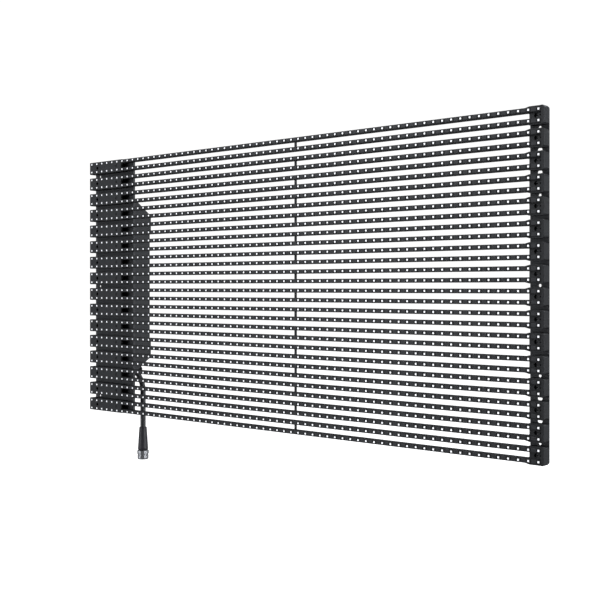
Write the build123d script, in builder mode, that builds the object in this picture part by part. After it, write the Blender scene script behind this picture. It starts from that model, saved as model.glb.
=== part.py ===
"""Transparent LED screen panel: sixteen slim two-bar modules on two sheet-metal rails.

Millimetres. +X runs to the viewer's right, the lit face looks along -Y and +Z is up.
The origin is the centre of the rear fixing holes, on the back face of the two rails.
A distance called a station is measured forwards from that back face, so Y = -station.
"""

import math
import os

from build123d import *

# Pixel grid
led_pitch = 15.625
led_columns = 64
rows_per_module = 2
module_count = 16

panel_width = led_columns * led_pitch
module_pitch = rows_per_module * led_pitch
panel_height = module_count * module_pitch
row_offset = led_pitch / 2

# Module case, a potted moulding: two bars, a driver block at the left and an end block at the right
bar_height = 7.0
bar_depth = 10.0
block_depth = 14.0
driver_block_length = 98.0
driver_block_height = 23.8
end_block_length = 24.4
end_block_height = 26.0
end_block_corner = 2.2
shoulder_overlap = 5.0
shoulder_run = 6.5
end_wall = 4.5
end_recess_depth = 3.0
pin_hole_from_right = 7.2
pin_hole_width = 2.2
pin_hole_depth = 4.0
tie_from_left = 544.3
tie_width = 1.8
tie_depth = 4.5
tie_setback = 1.5
wiring_mouth_length = 12.0
wiring_mouth_height = 7.2
wiring_mouth_wall = 1.5
lead_port_from_left = 60.0
lead_port_width = 14.0
lead_port_height = 5.0
lead_port_reach = 2.0

# LED board that lies on the front of each case
board_thickness = 1.2
board_strip_height = 6.2
board_root_inset = 0.6
board_end_gap = 0.3
locating_slot_from_left = 83.0
locating_slot_width = 3.5
locating_slot_height = 5.0

# Module screws, driven from the front into the rails
driver_screw_from_left = 24.0
screw_head_flats = 5.5
screw_head_height = 3.0
screw_shank_flats = 3.0
screw_seat_height = 5.0
screw_pocket_gap = 0.2
screw_end_gap = 0.2

# Rails
rail_sheet = 1.5
rail_end_inset = 3.0
rail_corner = 4.0
left_rail_width = 121.1
right_rail_width = 29.0
bend_inner_radius = 0.5
fixing_hole = 4.5
fixing_inset = 14.0
joining_hole = 7.5
lead_slot_gap = 0.5
left_fixing_boundaries = (1, 8, 15)
right_fixing_boundaries = (1, 4, 8, 12, 15)
joining_boundaries = (2, 3, 13, 14)

# Control box on the back of the left rail, and its cover
box_width = 98.0
box_depth = 39.5
box_edge_inset = 2.7
box_front_height = 338.0
box_top_fall = 29.5
box_bottom_rise = 29.0
box_wall = 2.5
cover_thickness = 2.5
gasket_thickness = 1.0
cover_pad_height = 32.0
cover_pad_thickness = 3.0
box_port_window_gap = 2.0
box_port_window_modules = 10
box_screw_inset = 12.0
box_screw_below_end = 18.0
box_boss = 9.0
box_boss_depth = 16.0
box_screw_flats = 3.0
box_screw_head_flats = 5.5
box_screw_head_height = 2.5
cover_edge = 1.5
cover_pad_inset = 3.0
cover_screw_inset = 6.5
cover_screw_reach = 8.0

# What the control box holds
inner_side_gap = 4.5
supply_boss_gap = 4.0
supply_hub_gap = 2.0
supply_depth = 26.0
supply_shelf = 14.0
hub_board_height = 100.0
hub_board_above_end = 55.0
hub_board_thickness = 1.6
standoff_height = 6.0
standoff_flats = 5.5
standoff_inset = 6.0
card_side_inset = 9.0
card_height = 52.0
card_thickness = 1.6
card_from_hub_top = 16.0
header_height = 8.0
header_width = 6.0
socket_height = 9.0
socket_width = 8.0

# Cable gland, square to the box's sloping underside
gland_from_box_side = 33.4
gland_behind_rail = 21.0
gland_thread = 20.0
gland_thread_gap = 0.1
gland_hex_flats = 24.0
gland_hex_height = 9.0
gland_neck_diameter = 18.0
gland_neck_length = 4.5
gland_locknut_flats = 26.0
gland_locknut_height = 4.0
gland_cap_flats = 24.0
gland_cap_length = 8.8
gland_cap_straight = 5.0
gland_cap_mouth = 13.0

# Hanging cord: out of the gland, then round in three equal turns to hang straight down
cord_diameter = 10.7
cord_turns = 3
cord_run = 12.5
cord_hang = 75.2
cord_bend_share = 0.45

# Plug moulded on the cord's end: a flared boot, a spigot, and a wider body with an open nose
boot_length = 45.6
boot_top_diameter = 14.8
boot_bottom_diameter = 20.4
spigot_diameter = 15.0
plug_body_diameter = 18.4
plug_setback = 1.5
socket_diameter = 14.0
socket_depth = 8.0
contact_count = 5
contact_circle = 7.0
contact_flats = 1.6
contact_length = 6.0

# Coupling nut that turns on the spigot
nut_below_boot = 0.8
nut_length = 17.6
nut_lip = 2.4
nut_flange_diameter = 23.0
nut_flange_height = 7.4
nut_skirt_diameter = 21.8
nut_running_gap = 0.1

# Stations and positions that follow from the sizes above
bar_back = rail_sheet + block_depth - bar_depth
case_front = rail_sheet + block_depth
screw_seat = rail_sheet + screw_seat_height
left_edge = -panel_width / 2
right_edge = panel_width / 2
rail_height = panel_height - 2 * rail_end_inset
bar_inner = row_offset - bar_height / 2
bar_outer = row_offset + bar_height / 2
driver_block_right = left_edge + driver_block_length
end_block_left = right_edge - end_block_length
end_recess_right = right_edge - end_wall
driver_screw_x = left_edge + driver_screw_from_left
end_screw_x = right_edge - fixing_inset
pin_hole_x = right_edge - pin_hole_from_right
lead_port_x = left_edge + lead_port_from_left
left_rail_right = left_edge + left_rail_width
box_right = left_rail_right - box_edge_inset
box_x = box_right - box_width / 2
cord_x = box_right - gland_from_box_side

os.makedirs("parts", exist_ok=True)


def save(part, name):
    """Label a finished piece and write it to its own file."""
    part.label = name
    export_step(part, f"parts/{name}.step")


def ahead(station):
    """The plane at a station, seen from the front: its x is +X and its y is +Z."""
    return Plane.XZ.offset(station)


def boundary_z(index):
    """Height of the line between module `index` and the next, counted from the top."""
    return panel_height / 2 - index * module_pitch


def module_z(index):
    """Height of the middle of module `index`, counted from 1 at the top."""
    return boundary_z(index - 0.5)


def hexagon(flats):
    """A hexagon by its width across flats."""
    return RegularPolygon(radius=flats / 2, side_count=6, major_radius=False)


# Module case
with BuildPart() as module_case:
    bars_left = left_edge + driver_block_length / 2
    bars_right = right_edge - end_block_length / 2
    with BuildSketch(ahead(bar_back)):
        with Locations(
            ((bars_left + bars_right) / 2, row_offset),
            ((bars_left + bars_right) / 2, -row_offset),
        ):
            Rectangle(bars_right - bars_left, bar_height)
    extrude(amount=bar_depth)

    with BuildSketch(ahead(rail_sheet)):
        with Locations((left_edge + driver_block_length / 2, 0)):
            Rectangle(driver_block_length, driver_block_height)
    extrude(amount=block_depth)

    with BuildSketch(ahead(rail_sheet)) as end_block:
        with BuildLine() as end_outline:
            Polyline(
                (end_block_left, 0),
                (end_block_left, bar_inner),
                (end_block_left - shoulder_overlap, bar_inner),
                (end_block_left - shoulder_overlap, bar_outer),
                (end_block_left - shoulder_overlap + shoulder_run, end_block_height / 2),
                (right_edge, end_block_height / 2),
                (right_edge, 0),
            )
            mirror(about=Plane.XZ)
        make_face()
        chamfer(end_block.vertices().group_by(Axis.X)[-1], length=end_block_corner)
    extrude(amount=block_depth)

    # A wall at the far end stands level with the front of the board
    with BuildSketch(ahead(case_front)) as end_wall_outline:
        with Locations((right_edge - end_wall / 2, 0)):
            Rectangle(end_wall, end_block_height)
        chamfer(end_wall_outline.vertices().group_by(Axis.X)[-1], length=end_block_corner)
    extrude(amount=board_thickness)

    # The end block is sunk between its two LED strips
    with BuildSketch(ahead(case_front)):
        with Locations(((end_block_left + end_recess_right) / 2, 0)):
            Rectangle(end_recess_right - end_block_left, 2 * bar_inner)
    extrude(amount=-end_recess_depth, mode=Mode.SUBTRACT)

    # A small blind hole beside the screw takes a locating pin
    with BuildSketch(ahead(case_front - end_recess_depth)):
        with Locations((pin_hole_x, 0)):
            Rectangle(pin_hole_width, pin_hole_width)
    extrude(amount=-pin_hole_depth, mode=Mode.SUBTRACT)

    # A thin tie holds the two bars at their distance near mid-span
    with BuildSketch(ahead(case_front - tie_setback)):
        with Locations((left_edge + tie_from_left, 0)):
            Rectangle(tie_width, 2 * row_offset)
    extrude(amount=-tie_depth)

    # The driver block's wiring mouth opens between the bars
    with BuildSketch(Plane.YZ.offset(driver_block_right)):
        with Locations((-(rail_sheet + block_depth / 2), 0)):
            Rectangle(block_depth - 2 * wiring_mouth_wall, wiring_mouth_height)
    extrude(amount=-wiring_mouth_length, mode=Mode.SUBTRACT)

    # The lead port reaches back through the left rail
    with BuildSketch(ahead(rail_sheet)):
        with Locations((lead_port_x, 0)):
            Rectangle(lead_port_width, lead_port_height)
    extrude(amount=-(rail_sheet + lead_port_reach))

    # Screw pockets: a hexagonal pocket down to the seat, and the shank's hole below it
    with BuildSketch(ahead(screw_seat)):
        with Locations((driver_screw_x, 0), (end_screw_x, 0)):
            hexagon(screw_head_flats + 2 * screw_pocket_gap)
    extrude(amount=case_front - screw_seat, mode=Mode.SUBTRACT)
    with BuildSketch(ahead(rail_sheet)):
        with Locations((driver_screw_x, 0), (end_screw_x, 0)):
            hexagon(screw_shank_flats + 2 * screw_pocket_gap)
    extrude(amount=screw_seat_height, mode=Mode.SUBTRACT)

# LED board: one root over the driver block and a strip along each bar
with BuildPart() as module_board:
    board_left = left_edge + board_root_inset
    board_right = end_recess_right - board_end_gap
    with BuildSketch(ahead(case_front)) as board_outline:
        with Locations((left_edge + driver_block_length / 2, 0)):
            Rectangle(
                driver_block_length - 2 * board_root_inset,
                driver_block_height - 2 * board_root_inset,
            )
        with Locations(
            ((board_left + board_right) / 2, row_offset),
            ((board_left + board_right) / 2, -row_offset),
        ):
            Rectangle(board_right - board_left, board_strip_height)
        with Locations((driver_screw_x, 0)):
            RegularPolygon(
                radius=screw_head_flats / 2 + screw_pocket_gap,
                side_count=6,
                major_radius=False,
                mode=Mode.SUBTRACT,
            )
        with Locations((left_edge + locating_slot_from_left, 0)):
            Rectangle(locating_slot_width, locating_slot_height, mode=Mode.SUBTRACT)
    extrude(amount=board_thickness)

for number in range(1, module_count + 1):
    place = Location((0, 0, module_z(number)))
    save(module_case.part.moved(place), f"module_{number:02d}_case")
    save(module_board.part.moved(place), f"module_{number:02d}_board")


def module_screws(x):
    """One hexagon-head screw in each module at x, as separate solids of one part."""
    spots = [(x, module_z(number)) for number in range(1, module_count + 1)]
    with BuildPart() as screws:
        with BuildSketch(ahead(screw_seat)):
            with Locations(*spots):
                hexagon(screw_head_flats)
        extrude(amount=screw_head_height)
        with BuildSketch(ahead(screw_end_gap)):
            with Locations(*spots):
                hexagon(screw_shank_flats)
        extrude(amount=screw_seat - screw_end_gap)
    return screws.part


save(module_screws(driver_screw_x), "module_screws_left")
save(module_screws(end_screw_x), "module_screws_right")


def rail_holes(fixing_x, fixing_boundaries, screw_x):
    """A rail's fixing holes and its module screw holes."""
    with BuildSketch(ahead(0)) as holes:
        with Locations(*[(fixing_x, boundary_z(k)) for k in fixing_boundaries]):
            Circle(fixing_hole / 2)
        with Locations(*[(screw_x, module_z(n)) for n in range(1, module_count + 1)]):
            hexagon(screw_shank_flats + 2 * screw_pocket_gap)
    return holes.sketch


box_mount_spots = [
    (
        box_x + side * (box_width / 2 - box_screw_inset),
        end * (box_front_height / 2 - box_screw_below_end),
    )
    for side in (-1, 1)
    for end in (-1, 1)
]

# Left rail: a flat web with its inner edge folded forwards to the backs of the bars
with BuildPart() as left_rail:
    with BuildSketch(Plane.XY.offset(-rail_height / 2)) as left_rail_section:
        with BuildLine():
            Polyline(
                (left_edge, 0),
                (left_rail_right, 0),
                (left_rail_right, -bar_back),
                (left_rail_right - rail_sheet, -bar_back),
                (left_rail_right - rail_sheet, -rail_sheet),
                (left_edge, -rail_sheet),
                close=True,
            )
        make_face()
        outer_bend = left_rail_section.vertices().sort_by_distance((left_rail_right, 0, -rail_height / 2))[0]
        fillet(outer_bend, radius=bend_inner_radius + rail_sheet)
        inner_bend = left_rail_section.vertices().sort_by_distance(
            (left_rail_right - rail_sheet, -rail_sheet, -rail_height / 2)
        )[0]
        fillet(inner_bend, radius=bend_inner_radius)
    extrude(amount=rail_height)
    fillet(left_rail.edges().filter_by(Axis.Y).group_by(Axis.X)[0], radius=rail_corner)
    left_holes = rail_holes(left_edge + fixing_inset, left_fixing_boundaries, driver_screw_x)
    extrude(left_holes, amount=rail_sheet, mode=Mode.SUBTRACT)
    with BuildSketch(ahead(0)):
        with Locations(*[(lead_port_x, module_z(n)) for n in range(1, module_count + 1)]):
            Rectangle(lead_port_width + 2 * lead_slot_gap, lead_port_height + 2 * lead_slot_gap)
        with Locations(*box_mount_spots):
            hexagon(box_screw_flats + 2 * screw_pocket_gap)
    extrude(amount=rail_sheet, mode=Mode.SUBTRACT)
save(left_rail.part, "left_rail")

# Right rail: a flat strip with extra holes for joining the next panel
with BuildPart() as right_rail:
    with BuildSketch(ahead(0)) as right_rail_outline:
        with Locations((right_edge - right_rail_width / 2, 0)):
            Rectangle(right_rail_width, rail_height)
        fillet(right_rail_outline.vertices().group_by(Axis.X)[-1], radius=rail_corner)
        with Locations(*[(end_screw_x, boundary_z(k)) for k in joining_boundaries]):
            Circle(joining_hole / 2, mode=Mode.SUBTRACT)
    extrude(amount=rail_sheet)
    right_holes = rail_holes(end_screw_x, right_fixing_boundaries, end_screw_x)
    extrude(right_holes, amount=rail_sheet, mode=Mode.SUBTRACT)
save(right_rail.part, "right_rail")


def box_profile_at(depth):
    """Top and bottom height of the control box's sloping outline at a depth behind the rail."""
    share = depth / box_depth
    top = box_front_height / 2 - box_top_fall * share
    bottom = -box_front_height / 2 + box_bottom_rise * share
    return top, bottom


tray_depth = box_depth - cover_thickness - gasket_thickness
tray_top, tray_bottom = box_profile_at(tray_depth)
cover_centre_z = (tray_top + tray_bottom) / 2
cover_height = tray_top - tray_bottom
top_slope = math.atan2(box_top_fall, box_depth)
underside_slope = math.atan2(box_bottom_rise, box_depth)
cover_screw_spots = [
    (
        box_x + side * (box_width / 2 - cover_screw_inset),
        cover_centre_z + end * (cover_height / 2 - cover_pad_inset - cover_screw_inset),
    )
    for side in (-1, 1)
    for end in (-1, 1)
]

# The gland stands square on the box's underside; its plane's x stays +X
gland_foot = Vector(cord_x, gland_behind_rail, box_profile_at(gland_behind_rail)[1])
gland_out = Vector(0, math.sin(underside_slope), -math.cos(underside_slope))
gland_plane = Plane(origin=gland_foot, x_dir=(1, 0, 0), z_dir=gland_out)
gland_axis = Axis(gland_foot, gland_out)


def tray_outline(start, end, end_wall_top, end_wall_bottom):
    """The box's outline from one depth to another, drawn in (Y, Z), inside its end walls."""
    start_top, start_bottom = box_profile_at(start)
    end_top, end_bottom = box_profile_at(end)
    Polyline(
        (start, start_top - end_wall_top),
        (end, end_top - end_wall_top),
        (end, end_bottom + end_wall_bottom),
        (start, start_bottom + end_wall_bottom),
        close=True,
    )


# Control box: a tray with sloping ends, open at the back
with BuildPart() as control_box:
    with BuildSketch(Plane.YZ.offset(box_x - box_width / 2)):
        with BuildLine():
            tray_outline(0, tray_depth, 0, 0)
        make_face()
    extrude(amount=box_width)
    with BuildSketch(Plane.YZ.offset(box_x - box_width / 2 + box_wall)):
        with BuildLine():
            tray_outline(
                box_wall,
                tray_depth,
                box_wall / math.cos(top_slope),
                box_wall / math.cos(underside_slope),
            )
        make_face()
    extrude(amount=box_width - 2 * box_wall, mode=Mode.SUBTRACT)
    # Bosses in the corners of the rim take the cover's screws
    with BuildSketch(Plane.XZ.offset(-tray_depth)):
        with Locations(*cover_screw_spots):
            Rectangle(box_boss, box_boss)
    extrude(amount=box_boss_depth)
    with BuildSketch(Plane.XZ.offset(-tray_depth)):
        with Locations(*cover_screw_spots):
            hexagon(box_screw_flats + 2 * screw_pocket_gap)
    extrude(amount=cover_screw_reach, mode=Mode.SUBTRACT)
    # Window for the lead ports, the four mounting holes, and the gland's hole
    with BuildSketch(Plane.XZ):
        with Locations((lead_port_x, 0)):
            Rectangle(
                lead_port_width + 2 * box_port_window_gap,
                box_port_window_modules * module_pitch - module_pitch + lead_port_height + 2 * box_port_window_gap,
            )
        with Locations(*box_mount_spots):
            hexagon(box_screw_flats + 2 * screw_pocket_gap)
    extrude(amount=-box_wall, mode=Mode.SUBTRACT)
    with BuildSketch(gland_plane):
        Circle(gland_thread / 2 + gland_thread_gap)
    extrude(amount=-box_wall, mode=Mode.SUBTRACT)
save(control_box.part, "control_box")

# Screws from inside the box into the rail
with BuildPart() as box_screws:
    with BuildSketch(Plane.XZ.offset(-box_wall)):
        with Locations(*box_mount_spots):
            hexagon(box_screw_head_flats)
    extrude(amount=-box_screw_head_height)
    with BuildSketch(Plane.XZ.offset(-box_wall)):
        with Locations(*box_mount_spots):
            hexagon(box_screw_flats)
    extrude(amount=box_wall + rail_sheet - screw_end_gap)
save(box_screws.part, "box_screws")

with BuildPart() as cover_gasket:
    with BuildSketch(Plane.XZ.offset(-tray_depth)):
        with Locations((box_x, cover_centre_z)):
            Rectangle(box_width, cover_height)
            Rectangle(box_width - 2 * box_wall, cover_height - 2 * box_wall, mode=Mode.SUBTRACT)
    extrude(amount=-gasket_thickness)
save(cover_gasket.part, "cover_gasket")

# Cover: a plate with a raised pad across each end, where its screws are sunk
cover_front = tray_depth + gasket_thickness
with BuildPart() as box_cover:
    with BuildSketch(Plane.XZ.offset(-cover_front)):
        with Locations((box_x, cover_centre_z)):
            Rectangle(box_width, cover_height)
    extrude(amount=-cover_thickness)
    chamfer(box_cover.faces().sort_by(Axis.Y)[-1].edges(), length=cover_edge)
    pad_offset = cover_height / 2 - cover_pad_inset - cover_pad_height / 2
    with BuildSketch(Plane.XZ.offset(-box_depth)):
        with Locations((box_x, cover_centre_z + pad_offset), (box_x, cover_centre_z - pad_offset)):
            Rectangle(box_width - 2 * cover_edge, cover_pad_height)
    extrude(amount=-cover_pad_thickness)
    with BuildSketch(Plane.XZ.offset(-cover_front)):
        with Locations(*cover_screw_spots):
            hexagon(box_screw_flats + 2 * screw_pocket_gap)
    extrude(amount=-(cover_thickness + cover_pad_thickness), mode=Mode.SUBTRACT)
    with BuildSketch(Plane.XZ.offset(-box_depth)):
        with Locations(*cover_screw_spots):
            hexagon(box_screw_head_flats + 2 * screw_pocket_gap)
    extrude(amount=-cover_pad_thickness, mode=Mode.SUBTRACT)
save(box_cover.part, "box_cover")

with BuildPart() as cover_screws:
    with BuildSketch(Plane.XZ.offset(-box_depth)):
        with Locations(*cover_screw_spots):
            hexagon(box_screw_head_flats)
    extrude(amount=-box_screw_head_height)
    with BuildSketch(Plane.XZ.offset(-box_depth)):
        with Locations(*cover_screw_spots):
            hexagon(box_screw_flats)
    extrude(amount=cover_thickness + gasket_thickness + cover_screw_reach - screw_end_gap)
save(cover_screws.part, "cover_screws")

# Places inside the box: the board stands above its lower end, the supply between board and cover bosses
inner_width = box_width - 2 * (box_wall + inner_side_gap)
card_width = inner_width - 2 * card_side_inset
hub_board_top = -box_front_height / 2 + hub_board_above_end + hub_board_height
hub_board_z = hub_board_top - hub_board_height / 2
boss_underside = cover_centre_z + cover_height / 2 - cover_pad_inset - cover_screw_inset - box_boss / 2
supply_top = boss_underside - supply_boss_gap
supply_bottom = hub_board_top + supply_hub_gap

# Power supply, flat on the floor of the box, with its terminal shelf at the lower end
with BuildPart() as power_supply:
    with BuildSketch(Plane.XZ.offset(-box_wall)):
        with Locations((box_x, (supply_top + supply_bottom) / 2)):
            Rectangle(inner_width, supply_top - supply_bottom)
    extrude(amount=-supply_depth)
    with BuildSketch(Plane.XZ.offset(-(box_wall + supply_depth))):
        with Locations((box_x, supply_bottom + supply_shelf / 2)):
            Rectangle(inner_width, supply_shelf)
    extrude(amount=supply_depth / 2, mode=Mode.SUBTRACT)
save(power_supply.part, "power_supply")

standoff_spots = [
    (
        box_x + side * (inner_width / 2 - standoff_inset),
        hub_board_z + end * (hub_board_height / 2 - standoff_inset),
    )
    for side in (-1, 1)
    for end in (-1, 1)
]
with BuildPart() as board_standoffs:
    with BuildSketch(Plane.XZ.offset(-box_wall)):
        with Locations(*standoff_spots):
            hexagon(standoff_flats)
    extrude(amount=-standoff_height)
save(board_standoffs.part, "board_standoffs")

# Distribution board: two headers carry the control card, a row of sockets takes the module leads
hub_front = box_wall + standoff_height
hub_back = hub_front + hub_board_thickness
card_z = hub_board_top - card_from_hub_top - card_height / 2
with BuildPart() as hub_board:
    with BuildSketch(Plane.XZ.offset(-hub_front)):
        with Locations((box_x, hub_board_z)):
            Rectangle(inner_width, hub_board_height)
    extrude(amount=-hub_board_thickness)
    with BuildSketch(Plane.XZ.offset(-hub_back)):
        with Locations(
            (box_x - (card_width - header_width) / 2, card_z),
            (box_x + (card_width - header_width) / 2, card_z),
        ):
            Rectangle(header_width, card_height)
    extrude(amount=-header_height)
    with BuildSketch(Plane.XZ.offset(-hub_back)):
        with Locations((box_x, hub_board_top - hub_board_height + socket_width)):
            Rectangle(card_width, socket_width)
    extrude(amount=-socket_height)
save(hub_board.part, "hub_board")

with BuildPart() as control_card:
    with BuildSketch(Plane.XZ.offset(-(hub_back + header_height))):
        with Locations((box_x, card_z)):
            Rectangle(card_width, card_height)
    extrude(amount=-card_thickness)
save(control_card.part, "control_card")

# Gland: a hexagon and neck outside, a threaded barrel through the wall, a locknut inside, and a cap
gland_cap_foot = gland_hex_height + gland_neck_length
with BuildPart() as gland_body:
    with BuildSketch(gland_plane):
        hexagon(gland_hex_flats)
    extrude(amount=gland_hex_height)
    with BuildSketch(gland_plane.offset(gland_hex_height)):
        Circle(gland_neck_diameter / 2)
    extrude(amount=gland_neck_length)
    with BuildSketch(gland_plane):
        Circle(gland_thread / 2)
    extrude(amount=-(box_wall + gland_locknut_height))
save(gland_body.part, "gland_body")

with BuildPart() as gland_locknut:
    with BuildSketch(gland_plane.offset(-box_wall)):
        hexagon(gland_locknut_flats)
        Circle(gland_thread / 2 + gland_thread_gap, mode=Mode.SUBTRACT)
    extrude(amount=-gland_locknut_height)
save(gland_locknut.part, "gland_locknut")

cap_shoulder = (gland_cap_flats - gland_cap_mouth) / 2
with BuildPart() as gland_cap:
    with BuildSketch(gland_plane.offset(gland_cap_foot)):
        hexagon(gland_cap_flats)
    extrude(amount=gland_cap_length)
    mouth = gland_cap.faces().sort_by(gland_axis)[-1]
    chamfer(mouth.edges(), length=cap_shoulder, length2=gland_cap_length - gland_cap_straight, reference=mouth)
save(gland_cap.part, "gland_cap")

# Cord: straight runs joined by tangent arcs, hanging from the gland
cord_turn = underside_slope / cord_turns
cord_exit = gland_foot + gland_out * (gland_cap_foot + gland_cap_length)
cord_points = [cord_exit]
for turns_left in range(cord_turns, 0, -1):
    lean = turns_left * cord_turn
    cord_points.append(cord_points[-1] + Vector(0, math.sin(lean), -math.cos(lean)) * cord_run)
cord_end = cord_points[-1] - Vector(0, 0, cord_hang)
cord_points.append(cord_end)
bend_radius = cord_bend_share * cord_run / math.tan(cord_turn / 2)
with BuildPart() as cord:
    with BuildLine() as route:
        FilletPolyline(*cord_points, radius=bend_radius)
    with BuildSketch(Plane(origin=cord_exit, x_dir=(1, 0, 0), z_dir=gland_out)):
        Circle(cord_diameter / 2)
    sweep()
cord_length = sum(edge.length for edge in route.edges())
cord_section = math.pi * cord_diameter**2 / 4
print(f"cord bend radii {bend_radius:.1f} mm each, {bend_radius / cord_diameter:.1f} diameters")
print(f"cord length {cord_length:.1f} mm")
print(f"cord volume over section times length {cord.part.volume / (cord_section * cord_length):.4f}")
print("cord points", [tuple(round(value, 2) for value in point) for point in cord_points])
save(cord.part, "cord")

# Plug, turned about the cord's hanging end: heights run down from there
boot_end = -boot_length
nut_top = boot_end - nut_below_boot
nut_end = nut_top - nut_length
body_top = nut_top - nut_lip - nut_running_gap
plug_end = nut_end + plug_setback
socket_floor = plug_end + socket_depth
plug_section = Plane(origin=cord_end, x_dir=(1, 0, 0), z_dir=(0, -1, 0))
plug_axis = Axis(cord_end, (0, 0, -1))
with BuildPart() as cord_plug:
    with BuildSketch(plug_section):
        with BuildLine():
            Polyline(
                (0, 0),
                (boot_top_diameter / 2, 0),
                (boot_bottom_diameter / 2, boot_end),
                (spigot_diameter / 2, boot_end),
                (spigot_diameter / 2, body_top),
                (plug_body_diameter / 2, body_top),
                (plug_body_diameter / 2, plug_end),
                (socket_diameter / 2, plug_end),
                (socket_diameter / 2, socket_floor),
                (0, socket_floor),
                close=True,
            )
        make_face()
    revolve(axis=plug_axis)
save(cord_plug.part, "cord_plug")

with BuildPart() as contact_pins:
    with BuildSketch(Plane(origin=cord_end + Vector(0, 0, socket_floor), x_dir=(1, 0, 0), z_dir=(0, 0, -1))):
        with PolarLocations(contact_circle / 2, contact_count):
            hexagon(contact_flats)
    extrude(amount=contact_length)
save(contact_pins.part, "contact_pins")

# Coupling nut: its inner lip runs between the boot and the plug's wider body
nut_bore = plug_body_diameter / 2 + nut_running_gap
lip_bore = spigot_diameter / 2 + nut_running_gap
with BuildPart() as coupling_nut:
    with BuildSketch(plug_section):
        with BuildLine():
            Polyline(
                (lip_bore, nut_top),
                (nut_flange_diameter / 2, nut_top),
                (nut_flange_diameter / 2, nut_top - nut_flange_height),
                (nut_skirt_diameter / 2, nut_top - nut_flange_height),
                (nut_skirt_diameter / 2, nut_end),
                (nut_bore, nut_end),
                (nut_bore, nut_top - nut_lip),
                (lip_bore, nut_top - nut_lip),
                close=True,
            )
        make_face()
    revolve(axis=plug_axis)
save(coupling_nut.part, "coupling_nut")
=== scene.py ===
"""Visual model of the see-through LED screen panel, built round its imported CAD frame.

Metres, in the CAD frame: +X to the viewer's right along the bars, the lit face looks along -Y and +Z is up.
"""

import logging
import math
from collections.abc import Callable
from dataclasses import dataclass, field
from enum import Enum
from typing import ClassVar

import bmesh
import bpy
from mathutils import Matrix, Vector


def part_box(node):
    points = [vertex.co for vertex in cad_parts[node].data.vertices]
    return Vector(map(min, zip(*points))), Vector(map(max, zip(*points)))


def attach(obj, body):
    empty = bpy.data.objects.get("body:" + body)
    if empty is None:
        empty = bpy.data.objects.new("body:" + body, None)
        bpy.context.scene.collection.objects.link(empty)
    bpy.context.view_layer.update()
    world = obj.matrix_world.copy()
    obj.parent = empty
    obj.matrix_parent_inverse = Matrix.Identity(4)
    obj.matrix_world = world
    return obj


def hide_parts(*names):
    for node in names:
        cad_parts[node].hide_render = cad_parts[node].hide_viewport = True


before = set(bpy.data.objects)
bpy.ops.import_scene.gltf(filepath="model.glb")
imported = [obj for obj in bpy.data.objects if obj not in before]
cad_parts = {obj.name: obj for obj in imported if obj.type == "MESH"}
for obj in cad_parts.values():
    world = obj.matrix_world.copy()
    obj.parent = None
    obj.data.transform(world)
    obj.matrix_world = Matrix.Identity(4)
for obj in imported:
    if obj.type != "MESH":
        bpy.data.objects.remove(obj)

LOG = logging.getLogger("led_screen")
MM = 0.001
PANEL_BODY = "panel"
NUT_BODY = "coupling_nut"
MODULE_COUNT = 16
DOWN = Vector((0, 0, -1))

Point = tuple[float, float, float]
Colour = tuple[float, float, float]
Profile = list[tuple[float, float]]


class Relief(Enum):
    """What a finish's fine relief looks like."""

    SMOOTH = "smooth"
    MOULDED = "moulded"
    POWDER = "powder"


# Shader groups shared by the finishes


def new_group(
    name: str, inputs: dict[str, tuple[str, object]], outputs: dict[str, str]
) -> bpy.types.NodeTree:
    """Makes an empty shader group with its sockets.

    Args:
        name: the group's name.
        inputs: socket name to (socket type, default value).
        outputs: socket name to socket type.

    Returns:
        The new node tree.
    """
    tree = bpy.data.node_groups.new(name, "ShaderNodeTree")
    for label, (kind, value) in inputs.items():
        tree.interface.new_socket(label, in_out="INPUT", socket_type=kind).default_value = value
    for label, kind in outputs.items():
        tree.interface.new_socket(label, in_out="OUTPUT", socket_type=kind)
    return tree


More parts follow.
